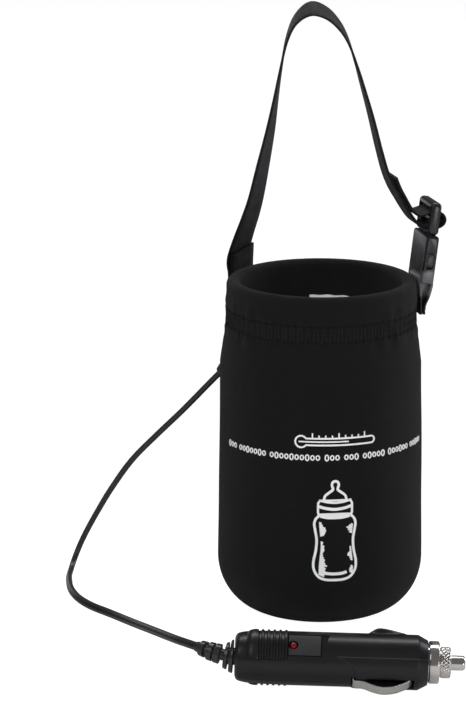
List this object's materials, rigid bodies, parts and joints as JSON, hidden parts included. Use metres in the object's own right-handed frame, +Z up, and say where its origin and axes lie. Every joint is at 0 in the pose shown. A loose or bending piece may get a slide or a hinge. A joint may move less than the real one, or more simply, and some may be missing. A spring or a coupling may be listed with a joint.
{
  "type": "bottle warmer",
  "caption": "Insulated heating sleeve for a baby bottle, with a buckled webbing handle and a short lead to a 12 V car plug with a lamp, fuse and sprung contacts.",
  "frame": {"origin": "centre of the sleeve's flat base, on the surface it stands on", "axes": "+Z up along the sleeve's axis, -Y towards the printed front, +X towards the buckle"},
  "size_m": [0.1625, 0.1614, 0.2507],
  "materials": {
    "neoprene": "smooth knitted face over foam, matt",
    "lining": "brushed knit, matt",
    "foam": "closed-cell foam",
    "thread": "twisted sewing thread",
    "heating_film": "thin film, satin",
    "ceramic_body": "matt",
    "red_insulation": "smooth",
    "black_insulation": "smooth",
    "cord_jacket": "soft PVC, satin",
    "label_tape": "woven tape, blank",
    "webbing": "flat woven nylon, slight sheen",
    "buckle_plastic": "fine moulded texture, satin",
    "plug_plastic": "moulded, semi-gloss",
    "panel_plastic": "polished",
    "lamp_red": "translucent lens",
    "circuit_board": "solder mask",
    "nickel": "bright nickel plate",
    "clear_glass": "clear",
    "spring_steel": "bright drawn wire",
    "brass_terminal": "as pressed"
  },
  "bodies": {
    "warmer": {"outer_shell": "neoprene", "inner_lining": "lining", "base_pad": "foam", "collar": "neoprene", "seam_stitching": "thread", "heater_film": "heating_film", "thermostat": "ceramic_body", "heater_lead_live": "red_insulation", "heater_lead_neutral": "black_insulation", "cord_grommet": "cord_jacket", "care_label": "label_tape", "strap_webbing": "webbing", "buckle_tab": "webbing", "buckle_female": "buckle_plastic", "cord_lead": "cord_jacket", "cord_strain_relief": "cord_jacket", "plug_shell_upper": "plug_plastic", "plug_shell_lower": "plug_plastic", "led_panel": "panel_plastic", "led_lamp": "lamp_red", "led_board": "circuit_board", "led_resistor": "ceramic_body", "front_bushing": "nickel", "fuse_spring": "spring_steel", "fuse_sleeve": "plug_plastic", "rear_terminal": "brass_terminal", "plug_lead_positive": "red_insulation", "plug_lead_negative": "black_insulation", "tip_lead": "red_insulation", "ground_lead": "black_insulation"},
    "buckle_male": {"buckle_male": "buckle_plastic"},
    "arm_front": {"buckle_arm_front": "buckle_plastic"},
    "arm_rear": {"buckle_arm_rear": "buckle_plastic"},
    "contact_strip": {"ground_contact": "nickel"},
    "cap": {"retaining_cap": "nickel"},
    "tip": {"centre_tip": "nickel", "fuse_cap_front": "nickel", "fuse_cap_rear": "nickel", "fuse_glass": "clear_glass", "fuse_wire": "spring_steel"}
  },
  "joints": [
    {"name": "buckle_pull", "type": "slide", "parent": "warmer", "child": "buckle_male", "axis": [0.1185, 0.0287, 0.9925], "range_m": [0, 0.028], "deforming": ["strap_webbing", "buckle_arm_front", "buckle_arm_rear"]},
    {"name": "arm_front_squeeze", "type": "hinge", "parent": "buckle_male", "child": "arm_front", "pos_m": [0.04444, 0.00694, 0.1564], "axis": [0.9647, 0.2334, -0.1219], "range_deg": [0, 16], "stiffness_Nm_per_rad": 0.05},
    {"name": "arm_rear_squeeze", "type": "hinge", "parent": "buckle_male", "child": "arm_rear", "pos_m": [0.0427, 0.01414, 0.1564], "axis": [-0.9647, -0.2334, 0.1219], "range_deg": [0, 16], "stiffness_Nm_per_rad": 0.05},
    {"name": "contact_flex", "type": "hinge", "parent": "warmer", "child": "contact_strip", "pos_m": [0.01157, -0.11126, 0.00523], "axis": [0.0064, -0.6159, 0.7878], "range_deg": [0, 9], "stiffness_Nm_per_rad": 0.02},
    {"name": "cap_turn", "type": "hinge", "parent": "warmer", "child": "cap", "pos_m": [0.03936, -0.10427, 0.01047], "axis": [0.9995, -0.0209, -0.0244], "continuous": true},
    {"name": "tip_press", "type": "slide", "parent": "warmer", "child": "tip", "axis": [-0.9995, 0.0209, 0.0244], "range_m": [0, 0.0028], "stiffness_N_per_m": 300, "deforming": ["fuse_spring"]}
  ],
  "couplings": [
    {"joint": "arm_rear_squeeze", "follows": "arm_front_squeeze", "ratio": 1}
  ]
}
